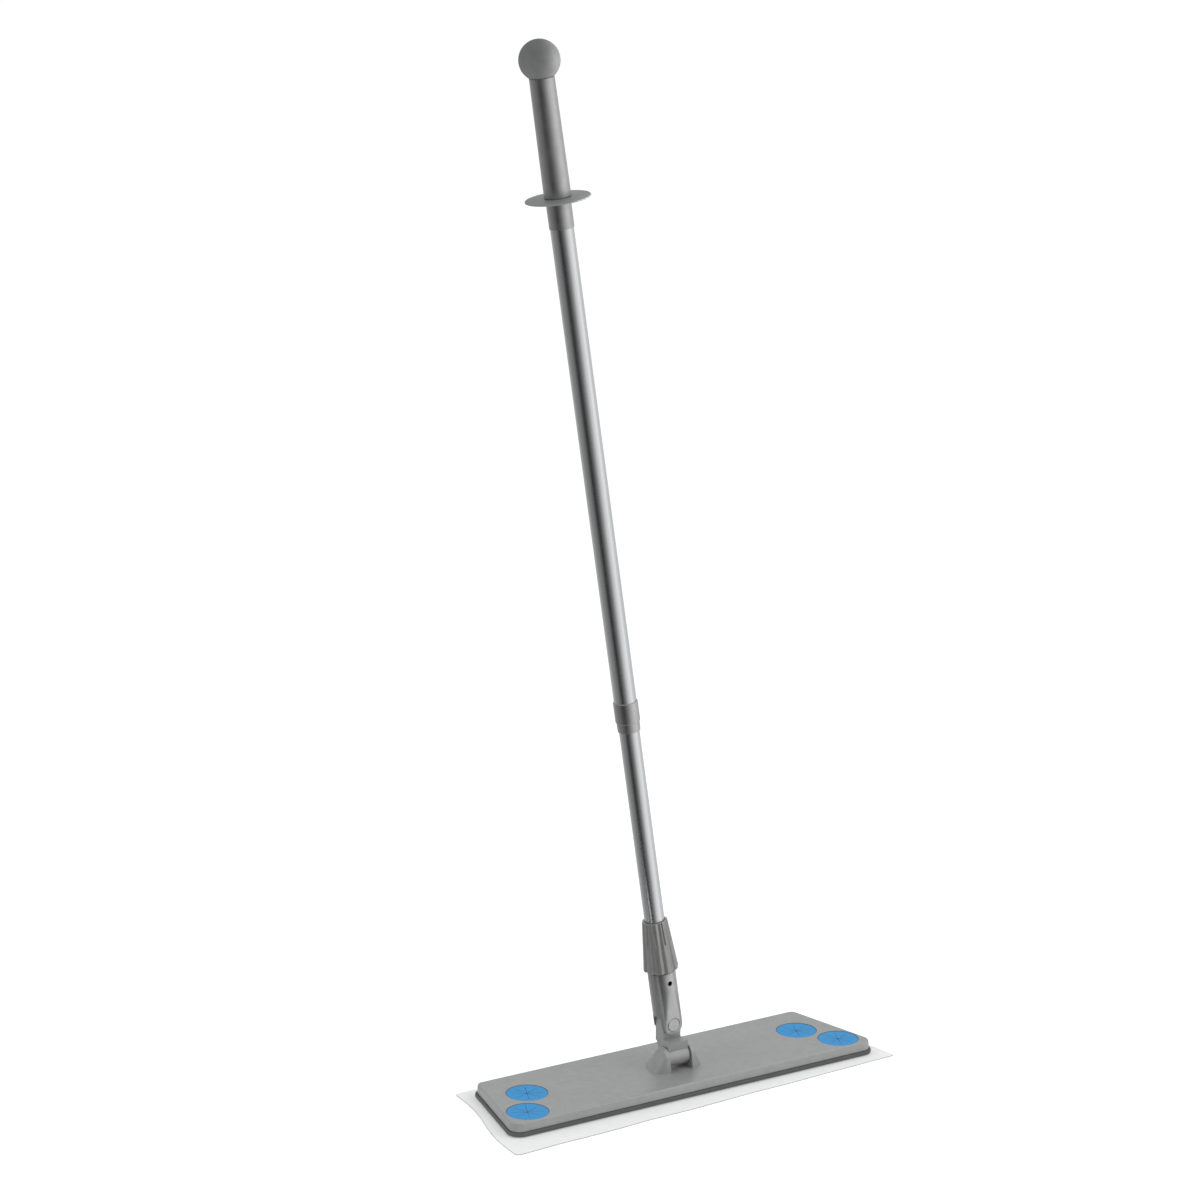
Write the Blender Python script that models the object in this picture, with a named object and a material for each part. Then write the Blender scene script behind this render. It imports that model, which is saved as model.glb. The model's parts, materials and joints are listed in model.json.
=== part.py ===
"""Flat mop: trapezoid plate, two-axis joint, clamped telescopic pole and ball knob.

World frame in metres, +Z up.  The origin is on the floor under the middle of the
plate, the long front edge of the plate faces -Y and the pole leans towards -X.
Pole pieces are placed by their height above the swivel pin, along the pole.
"""
import bmesh
import bpy
from math import asin, cos, pi, radians, sin
from mathutils import Matrix, Vector

MM = 0.001
GAP = 0.3 * MM                     # standing gap between fixed neighbours
RUN = 0.15 * MM                    # radial clearance of a pin or sleeve
ROUND = 40                         # segments of the large turned pieces
SMALL_ROUND = 32                   # segments of pins and bores

# Plate, seen from above a symmetric trapezoid
FRONT_LENGTH = 400 * MM
BACK_LENGTH = 355 * MM
PLATE_WIDTH = 109 * MM
CORNER_FRONT = 12 * MM
CORNER_BACK = 8 * MM

# Heights of the layers of the plate
WIPE_TOP = 1.0 * MM
SOLE_BOTTOM = WIPE_TOP + GAP
SOLE_FLOOR_TOP = 3.0 * MM
TRIM_TOP = 5.6 * MM
PANEL_BOTTOM = SOLE_FLOOR_TOP + GAP
PANEL_TOP = 4.7 * MM
SHELL_BOTTOM = TRIM_TOP + GAP
SHELL_TOP = 14.2 * MM
SHELL_ROOF = 3.0 * MM
SHELL_WALL = 2.4 * MM
SHELL_SET_IN = 2.0 * MM            # how far the shell stands back from the trim
TRIM_RIM = 4.0 * MM
RIB_HALF = 0.9 * MM                # half thickness of the ribs under the shell
LONG_RIB_REACH = 127 * MM
GROOVE_PITCH = 18 * MM
GROOVE_HALF = 0.9 * MM
GROOVE_REACH = 44 * MM
GROOVE_DEPTH = 0.8 * MM

# Cloth grippers
GRIPPER_RADIUS = 19.2 * MM
GRIPPER_FRONT = (170 * MM, -30.8 * MM)
GRIPPER_BACK = (148.5 * MM, 7 * MM)
GRIPPER_THICK = 1.5 * MM
GRIPPER_SUNK = 0.2 * MM
GRIPPER_LEDGE = 2.6 * MM
POCKET_WALL = 1.6 * MM
SLITS = 8
SLIT_WIDTH = 0.7 * MM
SLIT_REACH = 14.5 * MM

# Two-axis joint
BRACKET_Y = -9.8 * MM
AXLE_Z = 25.0 * MM
SWIVEL_RISE = 29.2 * MM            # swivel pin above the axle
PIN_BACK = 11.8 * MM               # swivel pin behind the axle
LEAN = radians(8.6)
BARREL_RADIUS = 8.8 * MM
BARREL_HALF = 11.5 * MM
EAR_RADIUS = 10.8 * MM
EAR_THICK = 3.4 * MM
FAIRING_FRONT = 12.5 * MM          # reach of the foot of an ear in front of the axle
FAIRING_BACK = 23 * MM
FAIRING_SIDE = 15 * MM
AXLE_RADIUS = 2.5 * MM
BLIND_DEPTH = 2.4 * MM             # how deep the axle sits in the left ear
BODY_HALF = 9.6 * MM               # half width of the knuckle body at its top
BODY_HALF_LOW = 11.2 * MM          # the same where it meets the barrel
BODY_FRONT = 18.5 * MM             # reach of its top in front of the swivel pin
BODY_DROP = 13.6 * MM              # its top below the swivel pin
TONGUE_RADIUS = 9.6 * MM
TONGUE_HALF = 6.2 * MM
SWIVEL_RADIUS = 3.0 * MM
SWIVEL_HEAD = 6.2 * MM
HEAD_DEPTH = 1.2 * MM              # recess of the pin's head in the cheek
HEAD_ROOM = 0.4 * MM

# Socket and clamp nut
NECK_RADIUS = 13.0 * MM
NECK_FLAT = 9.8 * MM               # half width across the flats, at the swivel pin
NECK_FLAT_HIGH = 12.7 * MM         # the same at the top of the flats
NECK_FLAT_TOP = 27 * MM
NECK_COLUMNS = 56                  # points around its section
CHEEK_RADIUS = 10.0 * MM
SLOT_TOP = 10.2 * MM
WELL_FLOOR = 17 * MM
SHOULDER = 53.6 * MM
THREAD_RADIUS = 11.6 * MM
THREAD_TOP = 78 * MM
TUBE_SEAT = 48 * MM
DRAIN_RADIUS = 2.3 * MM
DRAIN_HEIGHT = 43 * MM
NUT_BOTTOM = SHOULDER + 1.2 * MM
NUT_TOP = 103.2 * MM
NUT_WIDE = 16.3 * MM
NUT_NARROW = 11.7 * MM
NUT_FLUTES = 10
FLUTE_DEPTH_LOW = 1.8 * MM
FLUTE_DEPTH_HIGH = 1.0 * MM
SLOT_DEPTH = 0.9 * MM
COLLET_TOP = 95.6 * MM
THRUST_THICK = 2.8 * MM
NUT_CEILING = COLLET_TOP + THRUST_THICK + 2 * GAP

# Telescopic pole
LOWER_RADIUS = 9.3 * MM
LOWER_WALL = 0.8 * MM
LOWER_TOP = 824 * MM
UPPER_RADIUS = 10.3 * MM
UPPER_WALL = 0.7 * MM
UPPER_BOTTOM = 302 * MM
UPPER_TOP = 874 * MM
COLLAR_BOTTOM = 289.5 * MM
COLLAR_STEP = 298.6 * MM           # where the sleeve ends and the tapered lip starts
COLLAR_TOP = 317.5 * MM
COLLAR_RADIUS = 11.2 * MM
BUSH_RADIUS = 9.8 * MM
BUSH_BOTTOM = UPPER_BOTTOM - GAP - 5 * MM
LOCK_OFFSET = 0.45 * MM
LOCK_TURN = radians(110)

# Hand end
GUARD_HEIGHT = 775.7 * MM
GUARD_RADIUS = 28.8 * MM
GUARD_THICK = 2.2 * MM
GUARD_SLEEVE_BOTTOM = 749.9 * MM
GUARD_SLEEVE_RADIUS = 11.0 * MM
GRIP_TOP = 879.2 * MM
GRIP_LOW_RADIUS = 11.7 * MM
GRIP_HIGH_RADIUS = 11.1 * MM
BALL_HEIGHT = 893.8 * MM
BALL_RADIUS = 17.9 * MM
STEM_RADIUS = 3.0 * MM


# ---------------------------------------------------------------- helpers

def clear_scene():
    for obj in list(bpy.data.objects):
        bpy.data.objects.remove(obj)


def material(name, colour, roughness, metallic=0.0):
    mat = bpy.data.materials.new(name)
    mat.use_nodes = True
    shader = mat.node_tree.nodes["Principled BSDF"]
    shader.inputs["Base Color"].default_value = (*colour, 1.0)
    shader.inputs["Roughness"].default_value = roughness
    shader.inputs["Metallic"].default_value = metallic
    mat.diffuse_color = (*colour, 1.0)
    return mat


def add_empty(name, location, parent=None, lean=0.0):
    empty = bpy.data.objects.new(name, None)
    empty.location = location
    empty.rotation_euler = (0.0, -lean, 0.0)
    empty.parent = parent
    bpy.context.collection.objects.link(empty)
    return empty


def add_object(name, bm, mat, parent=None, location=(0.0, 0.0, 0.0)):
    """Turn a closed bmesh into a shaded object."""
    bmesh.ops.remove_doubles(bm, verts=bm.verts, dist=1e-6)
    bmesh.ops.recalc_face_normals(bm, faces=bm.faces)
    mesh = bpy.data.meshes.new(name)
    bm.to_mesh(mesh)
    bm.free()
    mesh.shade_smooth()
    mesh.set_sharp_from_angle(angle=radians(35))
    obj = bpy.data.objects.new(name, mesh)
    obj.location = location
    obj.parent = parent
    if mat:
        mesh.materials.append(mat)
    bpy.context.collection.objects.link(obj)
    return obj


def add_cutter(name, bm, parent=None, location=(0.0, 0.0, 0.0)):
    cutter = add_object(name, bm, None, parent, location)
    cutter.hide_render = True
    cutter.display_type = "WIRE"
    return cutter


def boolean(obj, tool, operation):
    modifier = obj.modifiers.new(tool.name, "BOOLEAN")
    modifier.operation = operation
    modifier.object = tool
    modifier.solver = "EXACT"


def turned(profile, segments=ROUND, bm=None, matrix=Matrix()):
    """Spin a profile of (radius, height) points about Z.

    A profile whose ends are on the axis gives a solid; any other is closed into a ring.
    """
    bm = bm or bmesh.new()
    points = [bm.verts.new((radius, 0.0, height)) for radius, height in profile]
    edges = [bm.edges.new(pair) for pair in zip(points, points[1:])]
    if profile[0][0] > 0.0:
        edges.append(bm.edges.new((points[-1], points[0])))
    old = set(bm.verts) - set(points)
    bmesh.ops.spin(bm, geom=points + edges, cent=(0, 0, 0), axis=(0, 0, 1),
                   angle=2 * pi, steps=segments, use_merge=True)
    bmesh.ops.remove_doubles(bm, verts=bm.verts, dist=1e-6)
    new = [vert for vert in bm.verts if vert not in old]
    bmesh.ops.transform(bm, matrix=matrix, verts=new)
    return bm


def tube(inner, outer, bottom, top, segments=ROUND):
    return turned([(outer, top), (outer, bottom), (inner, bottom), (inner, top)], segments)


def rod(radius, bottom, top, segments=SMALL_ROUND, bm=None, matrix=Matrix()):
    profile = [(0.0, top), (radius, top), (radius, bottom), (0.0, bottom)]
    return turned(profile, segments, bm, matrix)


def box(low, high, bm=None):
    bm = bm or bmesh.new()
    size = Vector(high) - Vector(low)
    middle = (Vector(high) + Vector(low)) / 2
    bmesh.ops.create_cube(bm, size=1.0, matrix=Matrix.LocRotScale(middle, None, size))
    return bm


def loft(rings):
    """Closed solid through equal-length rings of 3D points, bottom ring first."""
    bm = bmesh.new()
    rows = [[bm.verts.new(point) for point in ring] for ring in rings]
    for lower, upper in zip(rows, rows[1:]):
        for i in range(len(lower)):
            j = (i + 1) % len(lower)
            bm.faces.new((lower[i], lower[j], upper[j], upper[i]))
    bm.faces.new(reversed(rows[0]))
    bm.faces.new(rows[-1])
    return bm


def hull(points, bm=None):
    bm = bm or bmesh.new()
    verts = [bm.verts.new(point) for point in points]
    result = bmesh.ops.convex_hull(bm, input=verts)
    spare = [item for item in result["geom_interior"] if isinstance(item, bmesh.types.BMVert)]
    bmesh.ops.delete(bm, geom=spare, context="VERTS")
    return bm


def arc(centre, radius, start, end, steps):
    """Points on an arc in a plane, angles in radians."""
    angles = [start + (end - start) * i / steps for i in range(steps + 1)]
    return [(centre[0] + radius * cos(a), centre[1] + radius * sin(a)) for a in angles]


def offset_polygon(corners, inset):
    """Move every side of a convex anticlockwise polygon inwards."""
    moved = []
    count = len(corners)
    for i, corner in enumerate(corners):
        before = (corner - corners[i - 1]).normalized()
        after = (corners[(i + 1) % count] - corner).normalized()
        inward = Vector((-before.y, before.x)) + Vector((-after.y, after.x))
        inward /= 1.0 + before.dot(after)
        moved.append(corner + inward * inset)
    return moved


def rounded_polygon(corners, radii, steps=6):
    """Replace each corner of a convex anticlockwise polygon by an arc."""
    outline = []
    count = len(corners)
    for i, corner in enumerate(corners):
        before = (corner - corners[i - 1]).normalized()
        after = (corners[(i + 1) % count] - corner).normalized()
        turn = before.angle(after)
        reach = radii[i] * sin(turn / 2) / cos(turn / 2)
        centre = corner - before * reach + Vector((-before.y, before.x)) * radii[i]
        spoke = corner - before * reach - centre
        for step in range(steps + 1):
            swing = Matrix.Rotation(turn * step / steps, 2)
            outline.append(centre + swing @ spoke)
    return outline


# ---------------------------------------------------------------- plate

def plate_ring(inset, height):
    """The plate's outline set in by a distance, as a ring of points at a height."""
    half_width = PLATE_WIDTH / 2
    corners = [
        Vector((-FRONT_LENGTH / 2, -half_width)),
        Vector((FRONT_LENGTH / 2, -half_width)),
        Vector((BACK_LENGTH / 2, half_width)),
        Vector((-BACK_LENGTH / 2, half_width)),
    ]
    radii = [CORNER_FRONT - inset, CORNER_FRONT - inset, CORNER_BACK - inset, CORNER_BACK - inset]
    radii = [max(radius, MM) for radius in radii]
    outline = rounded_polygon(offset_polygon(corners, inset), radii)
    return [(point.x, point.y, height) for point in outline]


def gripper_places():
    """Names and centres of the four cloth grippers."""
    places = {}
    for row, (across, along) in (("front", GRIPPER_FRONT), ("back", GRIPPER_BACK)):
        places[row + "_left"] = (-across, along)
        places[row + "_right"] = (across, along)
    return places


def ear_points(side):
    """Points of one axle ear and the mound it stands on; side is -1 or 1."""
    inner = side * (BARREL_HALF + GAP)
    outer = inner + side * EAR_THICK
    rounded = arc((BRACKET_Y, AXLE_Z), EAR_RADIUS, radians(15), radians(165), 14)
    root = SHELL_TOP - MM
    points = [(inner, y, z) for y, z in rounded]
    points += [(outer, y, z - MM) for y, z in rounded[1:-1]]
    steps = 16
    for step in range(steps + 1):
        angle = pi * step / steps - pi / 2
        reach = FAIRING_BACK if angle > 0.0 else FAIRING_FRONT
        points.append((inner + side * FAIRING_SIDE * cos(angle), BRACKET_Y + reach * sin(angle), root))
    return points


def make_shell(mat):
    rings = [
        plate_ring(SHELL_SET_IN, SHELL_BOTTOM),
        plate_ring(2.3 * MM, 11.8 * MM),
        plate_ring(2.6 * MM, 13.2 * MM),
        plate_ring(3.2 * MM, 13.9 * MM),
        plate_ring(4.2 * MM, SHELL_TOP),
    ]
    shell = add_object("plate_shell", loft(rings), mat)

    cavity_rings = [
        plate_ring(SHELL_SET_IN + SHELL_WALL, SHELL_BOTTOM - MM),
        plate_ring(SHELL_SET_IN + SHELL_WALL + 0.6 * MM, SHELL_TOP - SHELL_ROOF),
    ]
    cavity = add_cutter("cutter_cavity", loft(cavity_rings))
    boolean(cavity, add_cutter("cutter_cross_ribs", cross_ribs()), "DIFFERENCE")
    boolean(cavity, add_cutter("cutter_long_rib", long_rib()), "DIFFERENCE")
    boolean(cavity, add_cutter("cutter_pocket_walls", pocket_walls()), "DIFFERENCE")
    boolean(shell, cavity, "DIFFERENCE")

    for side, word in ((-1, "left"), (1, "right")):
        boolean(shell, add_cutter("tool_ear_" + word, hull(ear_points(side))), "UNION")
    boolean(shell, add_cutter("cutter_gripper_seats", gripper_seats()), "DIFFERENCE")
    boolean(shell, add_cutter("cutter_axle_bore", axle_bore()), "DIFFERENCE")
    return shell


def cross_ribs():
    """Ribs across the underside of the shell, clear of the gripper pockets."""
    bm = bmesh.new()
    for x in (-112 * MM, -70 * MM, -28 * MM, 28 * MM, 70 * MM, 112 * MM):
        low = (x - RIB_HALF, -PLATE_WIDTH, 0.0)
        high = (x + RIB_HALF, PLATE_WIDTH, SHELL_TOP)
        box(low, high, bm)
    return bm


def long_rib():
    low = (-LONG_RIB_REACH, BRACKET_Y - RIB_HALF, 0.0)
    high = (LONG_RIB_REACH, BRACKET_Y + RIB_HALF, SHELL_TOP)
    return box(low, high)


def pocket_walls():
    bm = bmesh.new()
    radius = GRIPPER_RADIUS - GRIPPER_LEDGE + POCKET_WALL
    for x, y in gripper_places().values():
        rod(radius, 0.0, SHELL_TOP, SMALL_ROUND, bm, Matrix.Translation((x, y, 0)))
    return bm


def gripper_seats():
    """Stepped holes: a recess for the rim of each gripper over an open pocket."""
    bm = bmesh.new()
    seat = GRIPPER_RADIUS + GAP
    pocket = GRIPPER_RADIUS - GRIPPER_LEDGE
    ledge = SHELL_TOP - GRIPPER_SUNK - GRIPPER_THICK - GAP
    profile = [
        (0.0, SHELL_TOP + MM),
        (seat, SHELL_TOP + MM),
        (seat, ledge),
        (pocket, ledge),
        (pocket, 0.0),
        (0.0, 0.0),
    ]
    for x, y in gripper_places().values():
        turned(profile, SMALL_ROUND, bm, Matrix.Translation((x, y, 0)))
    return bm


def axle_bore():
    """Blind in the left ear, open on the right where the axle is pushed in."""
    turn = Matrix.Translation((0, BRACKET_Y, AXLE_Z)) @ Matrix.Rotation(pi / 2, 4, "Y")
    blind_end = -(BARREL_HALF + GAP + BLIND_DEPTH)
    return rod(AXLE_RADIUS + RUN, blind_end, 40 * MM, SMALL_ROUND, None, turn)


def make_sole(mat):
    rings = [
        plate_ring(2.0 * MM, SOLE_BOTTOM),
        plate_ring(0.3 * MM, SOLE_BOTTOM + 0.6 * MM),
        plate_ring(0.0, SOLE_BOTTOM + 1.2 * MM),
        plate_ring(0.0, TRIM_TOP - 1.0 * MM),
        plate_ring(0.6 * MM, TRIM_TOP),
    ]
    sole = add_object("sole_pad", loft(rings), mat)
    tray = loft([plate_ring(TRIM_RIM, SOLE_FLOOR_TOP), plate_ring(TRIM_RIM, TRIM_TOP + MM)])
    boolean(sole, add_cutter("cutter_sole_tray", tray), "DIFFERENCE")
    boolean(sole, add_cutter("cutter_sole_grooves", sole_grooves()), "DIFFERENCE")
    return sole


def sole_grooves():
    """Grooves across the underside of the sole that help it hold the wipe."""
    bm = bmesh.new()
    for i in range(-8, 9):
        x = i * GROOVE_PITCH
        low = (x - GROOVE_HALF, -GROOVE_REACH, SOLE_BOTTOM - MM)
        high = (x + GROOVE_HALF, GROOVE_REACH, SOLE_BOTTOM + GROOVE_DEPTH)
        box(low, high, bm)
    return bm


def make_base_panel(mat):
    inset = TRIM_RIM + GAP
    panel = loft([plate_ring(inset, PANEL_BOTTOM), plate_ring(inset, PANEL_TOP)])
    return add_object("base_panel", panel, mat)


def make_wipe(mat):
    """A loose sheet, a little askew under the plate, with a wavy left edge."""
    front_left = Vector((-213 * MM, -84 * MM))
    front_right = Vector((210 * MM, -66.5 * MM))
    back_right = Vector((190 * MM, 60 * MM))
    back_left = Vector((-190 * MM, 66 * MM))
    outline = rounded_polygon([front_left, front_right, back_right, back_left],
                              [7 * MM, 3 * MM, 4 * MM, 3 * MM])
    last = outline[-1]
    edge = outline[0] - last
    steps = 12
    for step in range(1, steps):
        part = step / steps
        sway = Vector((2.6 * MM * sin(2 * pi * part), 0.0))
        outline.append(last + edge * part + sway)
    rings = [[(p.x, p.y, height) for p in outline] for height in (0.0, WIPE_TOP)]
    return add_object("wipe", loft(rings), mat)


def star_cutter():
    """Prism of an eight-rayed star of narrow slits."""
    half = SLIT_WIDTH / 2
    crotch = half / sin(pi / SLITS)
    outline = []
    for i in range(SLITS):
        angle = 2 * pi * i / SLITS + pi / 8
        along = Vector((cos(angle), sin(angle)))
        across = Vector((-along.y, along.x)) * half
        between = angle + pi / SLITS
        outline.append(along * SLIT_REACH - across)
        outline.append(along * SLIT_REACH + across)
        outline.append(Vector((cos(between), sin(between))) * crotch)
    return loft([[(p.x, p.y, height) for p in outline] for height in (-5 * MM, 5 * MM)])


def make_grippers(mat):
    top = SHELL_TOP - GRIPPER_SUNK
    dish = 0.5 * MM
    profile = [
        (0.0, -dish),
        (GRIPPER_RADIUS - 2 * MM, 0.0),
        (GRIPPER_RADIUS - 0.4 * MM, 0.0),
        (GRIPPER_RADIUS, -0.4 * MM),
        (GRIPPER_RADIUS, -GRIPPER_THICK),
        (0.0, -GRIPPER_THICK),
    ]
    for word, (x, y) in gripper_places().items():
        gripper = add_object("gripper_" + word, turned(profile, SMALL_ROUND), mat, None, (x, y, top))
        cutter = add_cutter("cutter_slits_" + word, star_cutter(), None, (x, y, top))
        boolean(gripper, cutter, "DIFFERENCE")


# ---------------------------------------------------------------- joint

def make_axle(mat, barrel_axis):
    """Steel axle along X with a low head on its right end."""
    turn = Matrix.Rotation(pi / 2, 4, "Y")
    left = -(BARREL_HALF + BLIND_DEPTH)
    right = BARREL_HALF + GAP + 3.2 * MM
    bm = rod(AXLE_RADIUS, left, right, SMALL_ROUND, None, turn)
    return add_object("axle_pin", bm, mat, barrel_axis)


def make_knuckle(mat, barrel_axis):
    """Barrel on the axle, a body that widens upwards and the tongue for the swivel pin."""
    along_x = Matrix.Rotation(pi / 2, 4, "Y")
    along_y = Matrix.Rotation(pi / 2, 4, "X")
    edge = 0.8 * MM
    barrel = [
        (0.0, BARREL_HALF),
        (BARREL_RADIUS - edge, BARREL_HALF),
        (BARREL_RADIUS, BARREL_HALF - edge),
        (BARREL_RADIUS, edge - BARREL_HALF),
        (BARREL_RADIUS - edge, -BARREL_HALF),
        (0.0, -BARREL_HALF),
    ]
    knuckle = add_object("knuckle", turned(barrel, ROUND, None, along_x), mat, barrel_axis)

    body_top = SWIVEL_RISE - BODY_DROP
    meeting = radians(50)
    meeting_y = BARREL_RADIUS * cos(meeting) - 0.2 * MM
    meeting_z = BARREL_RADIUS * sin(meeting) - 0.2 * MM
    body = []
    for side in (-1, 1):
        high = side * BODY_HALF
        low = side * BODY_HALF_LOW
        body += [(high, PIN_BACK - BODY_FRONT, body_top), (high, PIN_BACK + TONGUE_HALF, body_top)]
        body += [(low, -meeting_y, meeting_z), (low, BARREL_RADIUS - MM, 0.0), (low, -MM, 0.0)]
    boolean(knuckle, add_cutter("tool_knuckle_body", hull(body), barrel_axis), "UNION")

    root = body_top - 4 * MM
    outline = [(-TONGUE_RADIUS, root), (TONGUE_RADIUS, root)]
    outline += arc((0.0, SWIVEL_RISE), TONGUE_RADIUS, 0.0, pi, 20)
    sides = (PIN_BACK - TONGUE_HALF, PIN_BACK + TONGUE_HALF)
    tongue = loft([[(x, y, z) for x, z in outline] for y in sides])
    boolean(knuckle, add_cutter("tool_knuckle_tongue", tongue, barrel_axis), "UNION")

    axle_hole = rod(AXLE_RADIUS + RUN, -20 * MM, 20 * MM, SMALL_ROUND, None, along_x)
    boolean(knuckle, add_cutter("cutter_knuckle_axle", axle_hole, barrel_axis), "DIFFERENCE")
    raised = Matrix.Translation((0, 0, SWIVEL_RISE)) @ along_y
    pin_hole = rod(SWIVEL_RADIUS + RUN, -20 * MM, 20 * MM, SMALL_ROUND, None, raised)
    boolean(knuckle, add_cutter("cutter_knuckle_pin", pin_hole, barrel_axis), "DIFFERENCE")
    return knuckle


def make_neck(mat, pole_axis):
    """Fork round the tongue below, threaded socket for the tube above."""
    chamfer = 1.0 * MM
    heights = [-CHEEK_RADIUS - 2 * MM, 7 * MM, 14 * MM, 21 * MM, NECK_FLAT_TOP, 34 * MM]
    rings = [neck_ring(height) for height in heights]
    for radius, height in (
        (NECK_RADIUS, SHOULDER - chamfer),
        (NECK_RADIUS - chamfer, SHOULDER),
        (THREAD_RADIUS, SHOULDER),
        (THREAD_RADIUS, THREAD_TOP - chamfer),
        (THREAD_RADIUS - chamfer, THREAD_TOP),
    ):
        rings.append(round_ring(radius, height))
    outside = loft(rings)
    bmesh.ops.triangulate(outside, faces=outside.faces)
    neck = add_object("neck", outside, mat, pole_axis)

    well = LOWER_RADIUS - 1.4 * MM
    socket = [
        (0.0, THREAD_TOP + MM),
        (LOWER_RADIUS + GAP, THREAD_TOP + MM),
        (LOWER_RADIUS + GAP, TUBE_SEAT - GAP),
        (well, TUBE_SEAT - GAP),
        (well, WELL_FLOOR),
        (0.0, WELL_FLOOR),
    ]
    boolean(neck, add_cutter("cutter_neck_socket", turned(socket), pole_axis), "DIFFERENCE")
    boolean(neck, add_cutter("cutter_neck_end", neck_end_cutter(), pole_axis), "DIFFERENCE")

    reach = NECK_RADIUS + MM
    slot_half = TONGUE_HALF + GAP
    slot = box((-reach, -slot_half, -20 * MM), (reach, slot_half, SLOT_TOP))
    boolean(neck, add_cutter("cutter_fork_slot", slot, pole_axis), "DIFFERENCE")
    boolean(neck, add_cutter("cutter_swivel_bore", swivel_bore(), pole_axis), "DIFFERENCE")
    drain = Matrix.Translation((0, 0, DRAIN_HEIGHT)) @ Matrix.Rotation(pi / 2, 4, "X")
    hole = rod(DRAIN_RADIUS, 2 * MM, 20 * MM, SMALL_ROUND, None, drain)
    boolean(neck, add_cutter("cutter_drain_hole", hole, pole_axis), "DIFFERENCE")
    return neck


def round_ring(radius, height):
    """A circle of points at a height along the pole."""
    angles = [2 * pi * column / NECK_COLUMNS for column in range(NECK_COLUMNS)]
    return [(radius * cos(angle), radius * sin(angle), height) for angle in angles]


def neck_ring(height):
    """Section of the neck: two flats, front and back, that run out into the round shape."""
    flat = NECK_FLAT + (NECK_FLAT_HIGH - NECK_FLAT) * height / NECK_FLAT_TOP
    soft = 1.2 * MM
    ring = []
    for x, y, z in round_ring(NECK_RADIUS, height):
        reach = flat * NECK_RADIUS / max(abs(y), MM)
        overlap = max(0.0, soft - abs(reach - NECK_RADIUS))
        radius = min(reach, NECK_RADIUS) - overlap * overlap / (4 * soft)
        ring.append((x * radius / NECK_RADIUS, y * radius / NECK_RADIUS, z))
    return ring


def neck_end_cutter():
    """Everything below the rounded end of the fork cheeks."""
    reach = NECK_RADIUS + MM
    low = -25 * MM
    shoulder_angle = radians(8)
    level = -CHEEK_RADIUS * sin(shoulder_angle)
    rounded = arc((0, 0), CHEEK_RADIUS, pi + shoulder_angle, 2 * pi - shoulder_angle, 20)
    outline = [(-reach, low), (-reach, level)] + rounded + [(reach, level), (reach, low)]
    outline.reverse()
    return loft([[(x, y, z) for x, z in outline] for y in (-reach, reach)])


def swivel_bore():
    """Bore through both cheeks with a recess for the head and for the clip."""
    depth = NECK_FLAT - HEAD_DEPTH
    recess = SWIVEL_HEAD + HEAD_ROOM
    profile = [
        (0.0, 20 * MM),
        (recess, 20 * MM),
        (recess, depth),
        (SWIVEL_RADIUS + RUN, depth),
        (SWIVEL_RADIUS + RUN, -depth),
        (recess, -depth),
        (recess, -20 * MM),
        (0.0, -20 * MM),
    ]
    return turned(profile, SMALL_ROUND, None, Matrix.Rotation(pi / 2, 4, "X"))


def make_swivel_pin(mat, pole_axis):
    """Headed pin along Y; the head fills the recess in the front cheek."""
    seat = NECK_FLAT - HEAD_DEPTH + RUN
    face = NECK_FLAT + 0.3 * MM
    edge = 0.4 * MM
    profile = [
        (0.0, face),
        (SWIVEL_HEAD - edge, face),
        (SWIVEL_HEAD, face - edge),
        (SWIVEL_HEAD, seat),
        (SWIVEL_RADIUS, seat),
        (SWIVEL_RADIUS, -NECK_FLAT),
        (0.0, -NECK_FLAT),
    ]
    bm = turned(profile, SMALL_ROUND, None, Matrix.Rotation(pi / 2, 4, "X"))
    return add_object("swivel_pin", bm, mat, pole_axis)


def make_swivel_clip(mat, pole_axis):
    seat = NECK_FLAT - HEAD_DEPTH + RUN
    thick = 1.1 * MM
    profile = [
        (SWIVEL_RADIUS + RUN, -seat),
        (SWIVEL_HEAD, -seat),
        (SWIVEL_HEAD, -seat - thick),
        (SWIVEL_RADIUS + RUN, -seat - thick),
    ]
    bm = turned(profile, SMALL_ROUND, None, Matrix.Rotation(pi / 2, 4, "X"))
    return add_object("swivel_clip", bm, mat, pole_axis)


# ---------------------------------------------------------------- clamp

def nut_outside(part):
    """Outer radius of the clamp nut; part runs from 0 at the foot to 1 at the top."""
    return NUT_WIDE + (NUT_NARROW - NUT_WIDE) * part


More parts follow.
